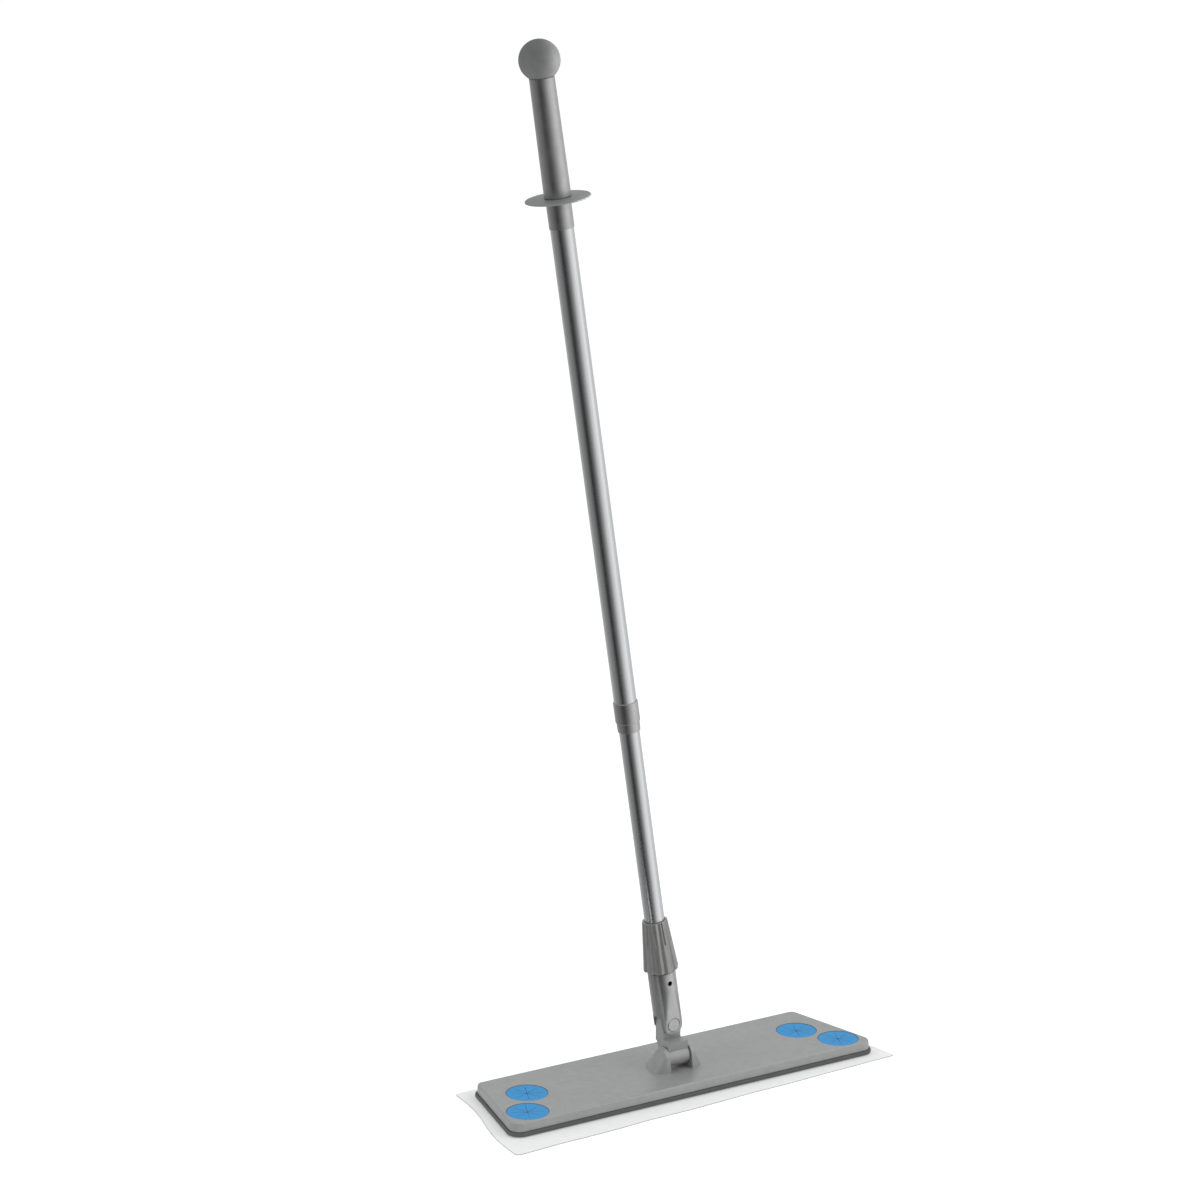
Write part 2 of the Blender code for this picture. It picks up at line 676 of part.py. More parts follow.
def make_lock_nut(mat, pole_axis):
    """Ribbed cone: broad flutes all the way up, narrow slots in the upper half."""
    per_flute = 8
    columns = NUT_FLUTES * per_flute
    edge_depth = 0.4 * MM
    levels = [0.0, 0.015, 0.2, 0.4, 0.53, 0.57, 0.98, 1.0]
    rings = []
    for part in levels:
        height = NUT_BOTTOM + (NUT_TOP - NUT_BOTTOM) * part
        edge = edge_depth if part in (0.0, 1.0) else 0.0
        slotted = 1.0 if 0.55 < part < 0.99 else 0.0
        flute_depth = FLUTE_DEPTH_LOW + (FLUTE_DEPTH_HIGH - FLUTE_DEPTH_LOW) * part
        ring = []
        for column in range(columns):
            angle = 2 * pi * column / columns
            flute = max(0.0, cos(angle * NUT_FLUTES)) ** 0.8
            slot = slotted if column % per_flute == per_flute // 2 else 0.0
            radius = nut_outside(part) - edge - flute_depth * flute - SLOT_DEPTH * slot
            ring.append((radius * cos(angle), radius * sin(angle), height))
        rings.append(ring)
    nut = add_object("lock_nut", loft(rings), mat, pole_axis)

    thread = THREAD_RADIUS + GAP
    chamber = 10.7 * MM
    neck_bore = LOWER_RADIUS + GAP
    inside = [
        (0.0, NUT_TOP + MM),
        (neck_bore, NUT_TOP + MM),
        (neck_bore, NUT_CEILING),
        (chamber, NUT_CEILING),
        (chamber, COLLET_TOP),
        (thread, THREAD_TOP + 3 * MM),
        (thread, NUT_BOTTOM - MM),
        (0.0, NUT_BOTTOM - MM),
    ]
    boolean(nut, add_cutter("cutter_nut_bore", turned(inside), pole_axis), "DIFFERENCE")
    return nut


def make_thrust_ring(mat, pole_axis):
    """Slip ring between collet and nut: it rides up with the nut but doesn't turn."""
    bottom = COLLET_TOP + GAP
    bm = tube(LOWER_RADIUS + GAP, 10.4 * MM, bottom, bottom + THRUST_THICK)
    return add_object("thrust_ring", bm, mat, pole_axis)


def make_collet(mat, pole_axis):
    """Split tapered sleeve that the nut squeezes onto the tube."""
    bottom = THREAD_TOP + GAP
    inner = LOWER_RADIUS + 0.2 * MM
    wide = 11.5 * MM
    narrow = 10.35 * MM
    profile = [
        (narrow, COLLET_TOP),
        (wide, THREAD_TOP + 3 * MM),
        (wide, bottom),
        (inner, bottom),
        (inner, COLLET_TOP),
    ]
    collet = add_object("collet", turned(profile), mat, pole_axis)
    half = 0.7 * MM
    slits = 5
    for i in range(slits):
        start = bottom - MM if i == 0 else bottom + 4 * MM
        slit = box((0.0, -half, start), (15 * MM, half, COLLET_TOP + MM))
        bmesh.ops.rotate(slit, verts=slit.verts, matrix=Matrix.Rotation(2 * pi * i / slits, 3, "Z"))
        boolean(collet, add_cutter("cutter_collet_%d" % (i + 1), slit, pole_axis), "DIFFERENCE")
    return collet


# ---------------------------------------------------------------- pole

def make_lower_tube(mat, pole_axis):
    bm = tube(LOWER_RADIUS - LOWER_WALL, LOWER_RADIUS, TUBE_SEAT, LOWER_TOP)
    return add_object("lower_tube", bm, mat, pole_axis)


def make_lock_plug(mat, pole_axis):
    """Plug in the top of the lower tube with an off-centre post for the cam."""
    spigot = LOWER_RADIUS - LOWER_WALL - 0.1 * MM
    head = LOWER_RADIUS - 0.25 * MM
    profile = [
        (0.0, LOWER_TOP + 3 * MM),
        (head, LOWER_TOP + 3 * MM),
        (head, LOWER_TOP + GAP),
        (spigot, LOWER_TOP + GAP),
        (spigot, LOWER_TOP - 26 * MM),
        (0.0, LOWER_TOP - 26 * MM),
    ]
    plug = add_object("lock_plug", turned(profile), mat, pole_axis)
    off_centre = Matrix.Translation((LOCK_OFFSET, 0, 0))
    post = rod(4.0 * MM, LOWER_TOP + 2 * MM, LOWER_TOP + 20 * MM, SMALL_ROUND, None, off_centre)
    boolean(plug, add_cutter("tool_lock_post", post, pole_axis), "UNION")
    cap = rod(6.5 * MM, LOWER_TOP + 19 * MM, LOWER_TOP + 21 * MM, SMALL_ROUND)
    boolean(plug, add_cutter("tool_lock_cap", cap, pole_axis), "UNION")
    return plug


def make_lock_cam(mat, pole_axis):
    """Eccentric ring on the post, turned to its locked position."""
    cam_axis = add_empty("cam_axis", (LOCK_OFFSET, 0, 0), pole_axis)
    rim = 8.7 * MM
    bottom = LOWER_TOP + 3.4 * MM
    top = LOWER_TOP + 18.6 * MM
    centre = Matrix.Rotation(-LOCK_TURN, 3, "Z") @ Vector((-LOCK_OFFSET, 0, 0))
    disc = rod(rim, bottom, top, ROUND, None, Matrix.Translation(centre))
    cam = add_object("lock_cam", disc, mat, cam_axis)
    hole = rod(4.0 * MM + GAP, bottom - MM, top + MM)
    boolean(cam, add_cutter("cutter_cam_hole", hole, cam_axis), "DIFFERENCE")
    return cam


def make_guide_bush(mat, pole_axis):
    """Sliding bush at the mouth of the upper tube."""
    bm = tube(LOWER_RADIUS + 0.2 * MM, BUSH_RADIUS, BUSH_BOTTOM, UPPER_BOTTOM - GAP)
    return add_object("guide_bush", bm, mat, pole_axis)


def make_upper_tube(mat, pole_axis):
    bm = tube(UPPER_RADIUS - UPPER_WALL, UPPER_RADIUS, UPPER_BOTTOM, UPPER_TOP)
    return add_object("upper_tube", bm, mat, pole_axis)


def make_collar(mat, pole_axis):
    """Twist collar: a sleeve on the upper tube that tapers to the lower one."""
    edge = 0.3 * MM
    lip_bore = LOWER_RADIUS + 0.2 * MM
    seat = BUSH_RADIUS + 0.15 * MM
    bore = UPPER_RADIUS + 0.1 * MM
    profile = [
        (COLLAR_RADIUS - edge, COLLAR_TOP),
        (COLLAR_RADIUS, COLLAR_TOP - edge),
        (COLLAR_RADIUS, COLLAR_STEP + edge),
        (COLLAR_RADIUS - edge, COLLAR_STEP),
        (COLLAR_RADIUS - 0.6 * MM, COLLAR_STEP - edge),
        (lip_bore + 0.6 * MM, COLLAR_BOTTOM),
        (lip_bore, COLLAR_BOTTOM),
        (lip_bore, BUSH_BOTTOM - GAP),
        (seat, BUSH_BOTTOM - GAP),
        (seat, UPPER_BOTTOM - GAP),
        (bore, UPPER_BOTTOM - GAP),
        (bore, COLLAR_TOP),
    ]
    return add_object("collar", turned(profile), mat, pole_axis)


# ---------------------------------------------------------------- hand end

def make_hand_guard(mat, pole_axis):
    """Round hand guard with a short sleeve below it."""
    bore = UPPER_RADIUS + 0.1 * MM
    under = GUARD_HEIGHT - GUARD_THICK / 2
    upper = GUARD_HEIGHT + GUARD_THICK / 2
    profile = [
        (bore, upper),
        (GUARD_RADIUS - 8 * MM, upper),
        (GUARD_RADIUS - 0.6 * MM, upper - 0.4 * MM),
        (GUARD_RADIUS, upper - 1.0 * MM),
        (GUARD_RADIUS - 0.5 * MM, under + 0.1 * MM),
        (GUARD_RADIUS - 8 * MM, under),
        (GUARD_SLEEVE_RADIUS + 1.5 * MM, under),
        (GUARD_SLEEVE_RADIUS, under - 1.5 * MM),
        (GUARD_SLEEVE_RADIUS, GUARD_SLEEVE_BOTTOM + 0.3 * MM),
        (GUARD_SLEEVE_RADIUS - 0.3 * MM, GUARD_SLEEVE_BOTTOM),
        (bore, GUARD_SLEEVE_BOTTOM),
    ]
    return add_object("hand_guard", turned(profile), mat, pole_axis)


def make_grip(mat, pole_axis):
    bore = UPPER_RADIUS + 0.1 * MM
    bottom = GUARD_HEIGHT + GUARD_THICK / 2 + GAP
    edge = 0.3 * MM
    profile = [
        (GRIP_HIGH_RADIUS - edge, GRIP_TOP),
        (GRIP_HIGH_RADIUS, GRIP_TOP - edge),
        (GRIP_LOW_RADIUS, bottom + 12 * MM),
        (GRIP_LOW_RADIUS, bottom + edge),
        (GRIP_LOW_RADIUS - edge, bottom),
        (bore, bottom),
        (bore, GRIP_TOP),
    ]
    return add_object("grip", turned(profile), mat, pole_axis)


def make_top_plug(mat, pole_axis):
    """Bearing for the knob's stem in the top of the upper tube."""
    bore = STEM_RADIUS + RUN
    inside = UPPER_RADIUS - UPPER_WALL - 0.1 * MM
    profile = [
        (UPPER_RADIUS, GRIP_TOP - GAP),
        (UPPER_RADIUS, UPPER_TOP + GAP),
        (inside, UPPER_TOP + GAP),
        (inside, UPPER_TOP - 10 * MM),
        (bore, UPPER_TOP - 10 * MM),
        (bore, GRIP_TOP - GAP),
    ]
    return add_object("top_plug", turned(profile), mat, pole_axis)


def make_ball_knob(mat, pole_axis):
    """Ball with a small flat underneath and a blind hole for its stem."""
    flat = GRIP_TOP + GAP - BALL_HEIGHT
    start = asin(flat / BALL_RADIUS)
    hole = STEM_RADIUS + 0.1 * MM
    outside = arc((0.0, BALL_HEIGHT), BALL_RADIUS, pi / 2, start, 14)
    outside[0] = (0.0, BALL_HEIGHT + BALL_RADIUS)
    profile = outside + [(hole, BALL_HEIGHT + flat), (hole, BALL_HEIGHT), (0.0, BALL_HEIGHT)]
    return add_object("ball_knob", turned(profile), mat, pole_axis)


def make_knob_stem(mat, pole_axis):
    bm = rod(STEM_RADIUS, UPPER_TOP - 15 * MM, BALL_HEIGHT - GAP)
    return add_object("knob_stem", bm, mat, pole_axis)


def make_stem_clip(mat, pole_axis):
    top = UPPER_TOP - 10.3 * MM
    bm = tube(STEM_RADIUS + 0.1 * MM, 5.5 * MM, top - 1.5 * MM, top, SMALL_ROUND)
    return add_object("stem_clip", bm, mat, pole_axis)


# ---------------------------------------------------------------- assembly

def bake_shapes():
    """Apply the booleans, remove the cutters and shade every piece by its own edges."""
    depsgraph = bpy.context.evaluated_depsgraph_get()
    pieces = [obj for obj in bpy.data.objects if obj.type == "MESH" and not obj.hide_render]
    baked = {obj: bpy.data.meshes.new_from_object(obj.evaluated_get(depsgraph)) for obj in pieces}
    for obj, mesh in baked.items():
        obj.modifiers.clear()
        obj.data = mesh
        mesh.shade_smooth()
        mesh.set_sharp_from_angle(angle=radians(24))
    for obj in list(bpy.data.objects):
        if obj.type == "MESH" and obj.hide_render:
            bpy.data.objects.remove(obj)


def build():
    clear_scene()
    shell_grey = material("shell_grey", (0.36, 0.37, 0.365), 0.5)
    joint_grey = material("joint_grey", (0.33, 0.34, 0.335), 0.45)
    nut_grey = material("nut_grey", (0.19, 0.19, 0.19), 0.55)
    trim_dark = material("trim_dark", (0.10, 0.10, 0.10), 0.8)
    gripper_blue = material("gripper_blue", (0.03, 0.30, 0.62), 0.55)
    wipe_white = material("wipe_white", (0.80, 0.80, 0.80), 0.95)
    tube_alloy = material("tube_alloy", (0.62, 0.63, 0.64), 0.3, 1.0)
    pin_steel = material("pin_steel", (0.55, 0.56, 0.57), 0.3, 1.0)
    liner_white = material("liner_white", (0.72, 0.72, 0.70), 0.5)
    grip_grey = material("grip_grey", (0.30, 0.31, 0.305), 0.5)

    make_wipe(wipe_white)
    make_sole(trim_dark)
    make_base_panel(liner_white)
    make_shell(shell_grey)
    make_grippers(gripper_blue)

    barrel_axis = add_empty("barrel_axis", (0, BRACKET_Y, AXLE_Z))
    make_axle(pin_steel, barrel_axis)
    make_knuckle(joint_grey, barrel_axis)

    pole_axis = add_empty("pole_axis", (0, PIN_BACK, SWIVEL_RISE), barrel_axis, LEAN)
    make_neck(joint_grey, pole_axis)
    make_swivel_pin(joint_grey, pole_axis)
    make_swivel_clip(pin_steel, pole_axis)
    make_collet(liner_white, pole_axis)
    make_thrust_ring(liner_white, pole_axis)
    make_lock_nut(nut_grey, pole_axis)

    make_lower_tube(tube_alloy, pole_axis)
    make_lock_plug(liner_white, pole_axis)
    make_lock_cam(liner_white, pole_axis)
    make_guide_bush(liner_white, pole_axis)
    make_upper_tube(tube_alloy, pole_axis)
    make_collar(grip_grey, pole_axis)

    make_hand_guard(grip_grey, pole_axis)
    make_grip(grip_grey, pole_axis)
    make_top_plug(liner_white, pole_axis)
    make_ball_knob(grip_grey, pole_axis)
    make_knob_stem(pin_steel, pole_axis)
    make_stem_clip(pin_steel, pole_axis)
    bake_shapes()


build()
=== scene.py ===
"""Looks of the flat mop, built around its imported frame.

Pieces on the pole are drawn in the pole's own frame, with the origin at the swivel
pin and +Z along the pole, and then moved into place vertex by vertex.
"""
import json
from math import asin, atan2, ceil, cos, hypot, pi, radians, sin, sqrt

import bmesh
import bpy
from mathutils import Matrix, Vector, noise


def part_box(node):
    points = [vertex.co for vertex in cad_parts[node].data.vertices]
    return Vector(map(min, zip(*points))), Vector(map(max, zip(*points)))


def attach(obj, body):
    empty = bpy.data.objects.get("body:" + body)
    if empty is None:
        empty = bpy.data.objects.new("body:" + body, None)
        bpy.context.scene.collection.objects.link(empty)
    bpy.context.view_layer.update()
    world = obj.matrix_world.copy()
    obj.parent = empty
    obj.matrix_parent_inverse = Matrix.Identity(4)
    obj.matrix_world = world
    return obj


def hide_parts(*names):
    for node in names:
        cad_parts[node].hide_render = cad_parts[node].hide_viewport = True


MM = 0.001
SLEEVE_GAP = 0.08 * MM             # room between the upper tube and the sleeves on it
NUT_TOP_RADIUS = 11.7 * MM
PETALS = 8
PETAL_REACH = 14.5 * MM            # from the middle of a gripper to the end of its slits
PETAL_DIP = 0.5 * MM               # how far the petals sink in the middle
SLIT_HALF_WIDTH = 0.16 * MM
GRIPPER_RIM = 1.2 * MM             # width of its rounded rim
RIM_DROP = 0.4 * MM
WIPE_CORNERS = [(-213, -84, 7), (210, -66.5, 3), (190, 60, 4), (-190, 66, 3)]  # x, y, rounding; mm

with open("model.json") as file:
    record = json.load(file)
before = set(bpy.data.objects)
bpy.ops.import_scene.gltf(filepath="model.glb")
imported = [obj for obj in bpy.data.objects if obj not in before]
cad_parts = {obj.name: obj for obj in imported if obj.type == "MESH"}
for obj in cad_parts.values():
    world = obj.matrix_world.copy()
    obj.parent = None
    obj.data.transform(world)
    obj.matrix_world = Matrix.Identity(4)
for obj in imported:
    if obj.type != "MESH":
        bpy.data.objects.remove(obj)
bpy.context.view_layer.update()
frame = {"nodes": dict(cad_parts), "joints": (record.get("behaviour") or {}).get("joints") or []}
nodes = frame["nodes"]
joints = {joint["name"]: joint for joint in frame["joints"]}

PIN = Vector(joints["tilt"]["pos_m"])
POLE_AXIS = Vector(joints["telescope"]["axis"])
LEAN = atan2(-POLE_AXIS.x, POLE_AXIS.z)
POLE = Matrix.Translation(PIN) @ Matrix.Rotation(-LEAN, 4, "Y")
STAY = Matrix()


# ---------------------------------------------------------------- materials

def shader_tree(name):
    mat = bpy.data.materials.new(name)
    mat.use_nodes = True
    tree = mat.node_tree
    return mat, tree, tree.nodes["Principled BSDF"]


def link(tree, source, target):
    tree.links.new(source, target)


def stretched_coordinates(tree, scale):
    """Object coordinates scaled by a different amount along each axis."""
    place = tree.nodes.new("ShaderNodeTexCoord")
    mapping = tree.nodes.new("ShaderNodeMapping")
    mapping.inputs["Scale"].default_value = scale
    link(tree, place.outputs["Object"], mapping.inputs["Vector"])
    return mapping.outputs["Vector"]


def pole_coordinates(tree, scale):
    """Object coordinates turned so that Z runs along the pole, then scaled."""
    place = tree.nodes.new("ShaderNodeTexCoord")
    turn = tree.nodes.new("ShaderNodeMapping")
    turn.inputs["Rotation"].default_value = (0.0, LEAN, 0.0)
    mapping = tree.nodes.new("ShaderNodeMapping")
    mapping.inputs["Scale"].default_value = scale
    link(tree, place.outputs["Object"], turn.inputs["Vector"])
    link(tree, turn.outputs["Vector"], mapping.inputs["Vector"])
    return mapping.outputs["Vector"]


def noise_value(tree, coordinates, scale, detail=2.0, roughness=0.5):
    texture = tree.nodes.new("ShaderNodeTexNoise")
    texture.inputs["Scale"].default_value = scale
    texture.inputs["Detail"].default_value = detail
    texture.inputs["Roughness"].default_value = roughness
    link(tree, coordinates, texture.inputs["Vector"])
    return texture.outputs["Fac"]


def ranged(tree, value, low, high, start=0.3, end=0.7):
    """A value between start and end spread over low to high."""
    node = tree.nodes.new("ShaderNodeMapRange")
    node.inputs["From Min"].default_value = start
    node.inputs["From Max"].default_value = end
    node.inputs["To Min"].default_value = low
    node.inputs["To Max"].default_value = high
    link(tree, value, node.inputs["Value"])
    return node.outputs["Result"]


def tinted(tree, value, dark, light):
    """A colour between two others."""
    ramp = tree.nodes.new("ShaderNodeValToRGB")
    ramp.color_ramp.elements[0].position = 0.3
    ramp.color_ramp.elements[0].color = (*dark, 1.0)
    ramp.color_ramp.elements[1].position = 0.7
    ramp.color_ramp.elements[1].color = (*light, 1.0)
    link(tree, value, ramp.inputs["Fac"])
    return ramp.outputs["Color"]


def bumped(tree, value, depth, before=None):
    node = tree.nodes.new("ShaderNodeBump")
    node.inputs["Strength"].default_value = 1.0
    node.inputs["Distance"].default_value = depth
    link(tree, value, node.inputs["Height"])
    if before:
        link(tree, before, node.inputs["Normal"])
    return node.outputs["Normal"]


def scaled(colour, factor):
    return tuple(part * factor for part in colour)


def moulded_plastic(name, colour, roughness, metallic=0.0, grain=0.02, spread=0.05):
    """Moulded plastic: fine eroded grain, faint mottling and uneven gloss."""
    mat, tree, shader = shader_tree(name)
    plain = stretched_coordinates(tree, (1, 1, 1))
    mottle = noise_value(tree, plain, 140, 4)
    colour_out = tinted(tree, mottle, scaled(colour, 1 - spread), scaled(colour, 1 + spread))
    link(tree, colour_out, shader.inputs["Base Color"])
    gloss = noise_value(tree, plain, 45, 3)
    rough = ranged(tree, gloss, roughness - 0.05, roughness + 0.06)
    link(tree, rough, shader.inputs["Roughness"])
    fine = bumped(tree, noise_value(tree, plain, 2600, 2), grain * MM)
    wavy = bumped(tree, noise_value(tree, plain, 60, 1), 0.02 * MM, fine)
    link(tree, wavy, shader.inputs["Normal"])
    shader.inputs["Metallic"].default_value = metallic
    return mat


def drawn_alloy(name, colour, roughness):
    """Drawn tube: fine lines along its length, with faint handling marks."""
    mat, tree, shader = shader_tree(name)
    lines = pole_coordinates(tree, (1, 1, 0.006))
    fine = noise_value(tree, lines, 5200, 3, 0.6)
    broad = noise_value(tree, lines, 900, 2)
    plain = stretched_coordinates(tree, (1, 1, 1))
    marks = noise_value(tree, plain, 160, 5, 0.65)
    colour_out = tinted(tree, broad, scaled(colour, 0.93), colour)
    link(tree, colour_out, shader.inputs["Base Color"])
    add = tree.nodes.new("ShaderNodeMath")
    add.operation = "ADD"
    link(tree, ranged(tree, fine, -0.05, 0.07), add.inputs[0])
    link(tree, ranged(tree, marks, roughness - 0.02, roughness + 0.05, 0.4, 0.75), add.inputs[1])
    link(tree, add.outputs["Value"], shader.inputs["Roughness"])
    deep = bumped(tree, fine, 0.006 * MM)
    link(tree, bumped(tree, broad, 0.01 * MM, deep), shader.inputs["Normal"])
    shader.inputs["Metallic"].default_value = 1.0
    return mat


def soft_rubber(name, colour, roughness, grain, spread):
    """Matt rubber with mottling and fine pores."""
    mat, tree, shader = shader_tree(name)
    plain = stretched_coordinates(tree, (1, 1, 1))
    mottle = noise_value(tree, plain, 260, 5, 0.6)
    link(tree, tinted(tree, mottle, scaled(colour, 1 - spread), scaled(colour, 1 + spread)),
         shader.inputs["Base Color"])
    link(tree, ranged(tree, mottle, roughness - 0.06, roughness + 0.06), shader.inputs["Roughness"])
    pores = bumped(tree, noise_value(tree, plain, 1500, 3, 0.6), grain * MM)
    link(tree, pores, shader.inputs["Normal"])
    return mat


def fibre_web(name, colour, painted_glow=0.0):
    """Nonwoven web: crossed fibres, a faint cloudiness, and a painted glow that lifts its shade."""
    mat, tree, shader = shader_tree(name)
    plain = stretched_coordinates(tree, (1, 1, 1))
    clouds = noise_value(tree, plain, 90, 4, 0.6)
    along = noise_value(tree, stretched_coordinates(tree, (1, 0.12, 1)), 1900, 4, 0.65)
    across = noise_value(tree, stretched_coordinates(tree, (0.16, 1, 1)), 1500, 4, 0.65)
    link(tree, tinted(tree, clouds, scaled(colour, 0.95), colour), shader.inputs["Base Color"])
    first = bumped(tree, along, 0.10 * MM)
    second = bumped(tree, across, 0.08 * MM, first)
    link(tree, bumped(tree, clouds, 0.25 * MM, second), shader.inputs["Normal"])
    shader.inputs["Roughness"].default_value = 0.95
    shader.inputs["Sheen Weight"].default_value = 0.25
    shader.inputs["Sheen Roughness"].default_value = 0.5
    # Painted light: the sheet glows by this emission, lifting the shade it gets near the plate.
    shader.inputs["Emission Color"].default_value = (1.0, 1.0, 1.0, 1.0)
    shader.inputs["Emission Strength"].default_value = painted_glow
    return mat


SHELL = moulded_plastic("shell_plastic", (0.36, 0.365, 0.36), 0.40, 0.35)
JOINT = moulded_plastic("joint_plastic", (0.53, 0.535, 0.53), 0.3, 1.0, 0.002)
NUT = moulded_plastic("nut_plastic", (0.36, 0.36, 0.355), 0.32, 0.7, 0.003)
GRIP = moulded_plastic("grip_plastic", (0.59, 0.595, 0.59), 0.4, 1.0, 0.0015)
GUARD = moulded_plastic("guard_plastic", (0.23, 0.233, 0.23), 0.45, 0.3, 0.003)
KNOB = moulded_plastic("knob_plastic", (0.13, 0.132, 0.13), 0.6, 0.1, 0.003)
LINER = moulded_plastic("liner_plastic", (0.70, 0.70, 0.68), 0.45)
TUBE = drawn_alloy("tube_alloy", (0.80, 0.81, 0.82), 0.22)
STEEL = drawn_alloy("pin_steel", (0.62, 0.62, 0.63), 0.28)
TRIM = soft_rubber("trim_rubber", (0.098, 0.099, 0.097), 0.75, 0.05, 0.12)
BLUE = soft_rubber("gripper_rubber", (0.012, 0.28, 0.63), 0.5, 0.02, 0.06)
# The wipe's emission of 0.25 is painted light that lifts its shade beside the plate.
WEB = fibre_web("wipe_web", (0.66, 0.66, 0.66), 0.25)
# Darker web without glow for the wipe's edge faces: painted shade along its edge.
WEB_EDGE_SHADE = fibre_web("wipe_edge_painted_shade", (0.50, 0.50, 0.50))


# ---------------------------------------------------------------- mesh helpers

def measure(node):
    """Lowest and highest place along the pole, and widest radius, of a CAD node."""
    inverse = POLE.inverted()
    places = [inverse @ vert.co for vert in nodes[node].data.vertices]
    heights = [place.z for place in places]
    return min(heights), max(heights), max(hypot(place.x, place.y) for place in places)


def finish_piece(name, bm, mat, body, node, matrix=STAY, angle=35):
    """Turn a bmesh into a shaded piece that stands for a CAD node and rides on a body."""
    bmesh.ops.remove_doubles(bm, verts=bm.verts, dist=0.001 * MM)
    bmesh.ops.transform(bm, matrix=matrix, verts=bm.verts)
    bmesh.ops.recalc_face_normals(bm, faces=bm.faces)
    mesh = bpy.data.meshes.new(name)
    bm.to_mesh(mesh)
    bm.free()
    mesh.materials.append(mat)
    mesh.shade_smooth()
    mesh.set_sharp_from_angle(angle=radians(angle))
    obj = bpy.data.objects.new(name, mesh)
    bpy.context.scene.collection.objects.link(obj)
    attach(obj, body)
    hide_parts(node)
    return obj


def curve_point(start, corner, end, part):
    """A place on the rounded corner that leaves start and reaches end."""
    return start * (1 - part) ** 2 + corner * 2 * part * (1 - part) + end * part ** 2


def eased(corners, steps=4):
    """Round the corners of a closed profile; each corner is (radius, height, rounding)."""
    outline = []
    count = len(corners)
    for i, (r, z, rounding) in enumerate(corners):
        here = Vector((r, z))
        before = Vector(corners[i - 1][:2]) - here
        after = Vector(corners[(i + 1) % count][:2]) - here
        if rounding <= 0:
            outline.append(here)
            continue
        reach = min(rounding, before.length * 0.45, after.length * 0.45)
        start = here + before.normalized() * reach
        end = here + after.normalized() * reach
        for step in range(steps + 1):
            part = step / steps
            outline.append(curve_point(start, here, end, part))
    return outline


def spun(corners, segments=96, steps=4):
    """Ring-shaped mesh from a closed profile of (radius, height, rounding) corners."""
    bm = bmesh.new()
    outline = eased(corners, steps)
    rows = []
    for r, z in outline:
        if r < 1e-7:
            rows.append([bm.verts.new((0, 0, z))] * segments)
        else:
            ring = [2 * pi * k / segments for k in range(segments)]
            rows.append([bm.verts.new((r * cos(a), r * sin(a), z)) for a in ring])
    for i, row in enumerate(rows):
        other = rows[(i + 1) % len(rows)]
        for k in range(segments):
            j = (k + 1) % segments
            corners_here = [row[k], row[j], other[j], other[k]]
            unique = list(dict.fromkeys(corners_here))
            if len(unique) > 2:
                bm.faces.new(unique)
    return bm


# ---------------------------------------------------------------- pole pieces

def make_tube(name, node, body, wall):
    low, high, outer = measure(node)
    edge = 0.15 * MM
    inner = outer - wall
    corners = [(outer, low, edge), (outer, high, edge), (inner, high, edge), (inner, low, edge)]
    finish_piece(name, spun(corners, 128, 2), TUBE, body, node, POLE)


def make_collar():
    """Sleeve on the upper tube with a step and a tapered lip round the lower one."""
    low, high, outer = measure("collar")
    lip = measure("lower_tube")[2] + 0.25 * MM
    bore = measure("upper_tube")[2] + SLEEVE_GAP
    seat = measure("upper_tube")[0] - 0.3 * MM
    bush_low, _, bush = measure("guide_bush")
    step = low + 9 * MM
    chamber = bush + 0.12 * MM
    corners = [
        (lip, low, 0.1 * MM),
        (lip + 0.7 * MM, low, 0.3 * MM),
        (outer - 0.7 * MM, step - 0.3 * MM, 0.3 * MM),
        (outer, step + 0.2 * MM, 0.5 * MM),
        (outer, high, 0.5 * MM),
        (bore, high, 0.1 * MM),
        (bore, seat, 0),
        (chamber, seat, 0),
        (chamber, bush_low - 0.3 * MM, 0),
        (lip, bush_low - 0.3 * MM, 0),
    ]
    finish_piece("collar_sleeve", spun(corners), GRIP, "upper", "collar", POLE)


def make_guard():
    """Hand guard: a matt disc on a satin sleeve."""
    low, high, outer = measure("hand_guard")
    bore = measure("upper_tube")[2] + SLEEVE_GAP
    sleeve = measure("grip")[2] - 0.8 * MM
    under = high - 2.2 * MM
    corners = [
        (bore, low, 0.1 * MM),
        (sleeve, low, 0.4 * MM),
        (sleeve, under - 0.2 * MM, 1.4 * MM),
        (outer - 9 * MM, under, 2 * MM),
        (outer - 0.6 * MM, under + 0.15 * MM, 0.5 * MM),
        (outer, high - 1.1 * MM, 0.6 * MM),
        (outer - 0.7 * MM, high - 0.35 * MM, 0.5 * MM),
        (outer - 9 * MM, high, 2 * MM),
        (bore, high, 0.1 * MM),
    ]
    disc = finish_piece("guard_disc", spun(corners, 128), GRIP, "upper", "hand_guard",
                        POLE)
    disc.data.materials.append(GUARD)
    inverse = POLE.inverted()
    for face in disc.data.polygons:
        place = inverse @ face.center
        face.material_index = int(hypot(place.x, place.y) > sleeve + MM)


def make_grip():
    low, high, outer = measure("grip")
    bore = measure("upper_tube")[2] + SLEEVE_GAP
    top = outer - 0.7 * MM
    corners = [
        (bore, low, 0.1 * MM),
        (outer, low, 0.5 * MM),
        (outer, low + 12 * MM, 4 * MM),
        (top, high, 0.5 * MM),
        (bore, high, 0.1 * MM),
    ]
    finish_piece("grip_sleeve", spun(corners, 128), GRIP, "upper", "grip", POLE)


